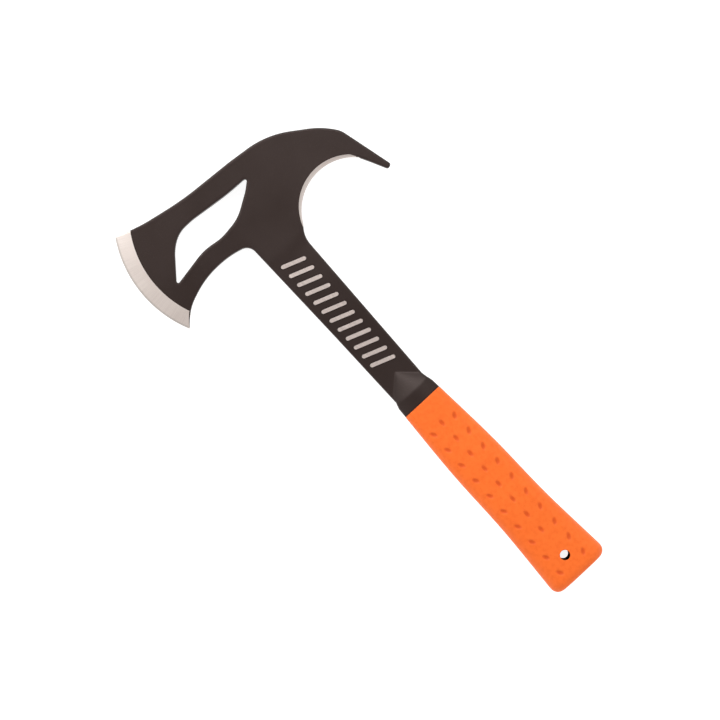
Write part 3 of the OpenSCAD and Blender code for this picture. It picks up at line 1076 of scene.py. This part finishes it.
def satin_black():
    """Dark moulded sleeve, a little uneven: partly its own black, partly painted shade of the
    narrow hole.
    """
    finish = Finish("sleeve_black", Specular_IOR_Level=0.0)
    cloud = finish.noise(finish.place, 400.0, 3.0)
    # Near-black tone: the sleeve's own black, deepened as painted shade of the deep lanyard hole
    tone = finish.blend(cloud, rgb(0.002, 0.002, 0.002), rgb(0.005, 0.004, 0.004))
    finish.feed(Base_Color=tone, Roughness=finish.between(cloud, 0.3, 0.7, 0.8, 0.95))
    return finish.material


def cured_film():
    """Amber adhesive film with small bubbles."""
    finish = Finish("bond_film", Specular_IOR_Level=0.5)
    bubbles = finish.node("ShaderNodeTexVoronoi", {"Vector": finish.place, "Scale": 700.0})
    cloud = finish.noise(finish.place, 90.0, 3.0)
    tone = finish.blend(cloud, rgb(0.44, 0.37, 0.24), rgb(0.60, 0.54, 0.40))
    finish.feed(Base_Color=tone, Roughness=finish.between(cloud, 0.3, 0.7, 0.3, 0.5),
                Normal=finish.bump(bubbles, 0.00006, 0.6))
    return finish.material


# ---------------------------------------------------------------- floor, light and camera

def build_stage(centre):
    """A pale floor that glows a little, so that the axe's own shadow on it stays faint."""
    finish = Finish("floor", Roughness=0.9, Specular_IOR_Level=0.1)
    finish.shader.inputs["Base Color"].default_value = rgb(0.36, 0.36, 0.36)
    finish.shader.inputs["Emission Color"].default_value = rgb(1, 1, 1)
    finish.shader.inputs["Emission Strength"].default_value = 0.90
    reach = 6.0
    mesh = bpy.data.meshes.new("floor")
    corners = [(centre.x + a * reach, centre.y + b * reach, 0)
               for a, b in ((-1, -1), (1, -1), (1, 1), (-1, 1))]
    mesh.from_pydata(corners, [], [(0, 1, 2, 3)])
    mesh.materials.append(finish.material)
    floor = bpy.data.objects.new("floor", mesh)
    bpy.context.scene.collection.objects.link(floor)


def add_softbox(name, centre, azimuth, elevation, distance, size, power):
    """A square area light that looks at the axe from an azimuth, counted from +x towards
    +y, and an elevation, in degrees."""
    a, e = math.radians(azimuth), math.radians(elevation)
    out = Vector((math.cos(a) * math.cos(e), math.sin(a) * math.cos(e), math.sin(e)))
    light = bpy.data.lights.new(name, "AREA")
    light.shape, light.size, light.energy = "SQUARE", size, power
    lamp = bpy.data.objects.new(name, light)
    lamp.location = centre + out * distance
    lamp.rotation_euler = out.to_track_quat("Z", "Y").to_euler()
    bpy.context.scene.collection.objects.link(lamp)


def build_light(centre):
    """White surroundings that darken overhead, and five soft lamps, the key above the blade."""
    scene = bpy.context.scene
    scene.view_settings.view_transform = "Standard"
    world = bpy.data.worlds.new("studio")
    world.use_nodes = True
    scene.world = world
    tree = world.node_tree
    sky = add_node(tree, "ShaderNodeTexCoord", output="Generated")
    height = add_node(tree, "ShaderNodeSeparateXYZ", {0: sky}, output=2)
    ramp = add_node(tree, "ShaderNodeValToRGB", {0: height},
                    stops=[(0.55, rgb(1, 1, 1)), (0.80, rgb(0.76, 0.72, 0.69)),
                           (0.93, rgb(0.37, 0.33, 0.305)), (0.99, rgb(0.15, 0.115, 0.100))])
    tree.links.new(ramp.socket, tree.nodes["Background"].inputs["Color"])
    tree.nodes["Background"].inputs["Strength"].default_value = 0.8
    add_softbox("key", centre, 178, 45, 1.5, 0.9, 11)
    add_softbox("side", centre, 130, 58, 1.6, 0.7, 5.5)
    add_softbox("low side", centre, 232, 60, 1.6, 0.7, 0.9)
    add_softbox("fill", centre, 315, 35, 1.7, 1.2, 2)
    add_softbox("butt", centre, 30, 38, 1.7, 1.2, 3)


def build_camera(low, high):
    """Straight down, turned so that the handle runs down to the right, with the whole axe
    in the frame."""
    camera_turn = math.radians(47.07)
    height, view_width = 2.1, 0.455
    aside_x, aside_y = 0.0162, 0.0130
    middle = (low + high) / 2
    data = bpy.data.cameras.new("camera")
    data.sensor_width = 36.0
    data.lens = data.sensor_width * height / view_width
    data.clip_start, data.clip_end = 0.05, 20
    camera = bpy.data.objects.new("camera", data)
    camera.location = (middle.x - aside_x, middle.y - aside_y, middle.z + height)
    camera.rotation_euler = (0, 0, camera_turn)
    bpy.context.scene.collection.objects.link(camera)
    bpy.context.scene.camera = camera


# ---------------------------------------------------------------- the axe

def set_piece(piece, node):
    """A finished piece takes the place of a CAD node, which is hidden, and rides on the one body.
    """
    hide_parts(node)
    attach(piece, "root")


coating = powder_coat()
blade_ground = ground_steel("ground_blade", BLADE_C, rgb(0.65, 0.575, 0.535),
                            rgb(0.895, 0.825, 0.780), shaded_from=HONE_R)
# The throat's bevel is the same ground steel as the blade's, painted darker as painted shade
# against its reflection of the bright floor
throat_ground_shaded = ground_steel("ground_throat", THROAT_C, rgb(0.46, 0.400, 0.370),
                             rgb(0.63, 0.570, 0.535))
forging = build_forging([coating, blade_ground, throat_ground_shaded, bare_rib()])
set_piece(forging, "forging")
set_piece(build_grip(vinyl()), "grip")
set_piece(build_sleeve(satin_black()), "lanyard_sleeve")
bond = frame["nodes"]["tang_bond"]
bond.data.materials.clear()
bond.data.materials.append(cured_film())

axe_middle = (cad_low + cad_high) / 2
build_stage(axe_middle)
build_light(axe_middle)
build_camera(cad_low, cad_high)
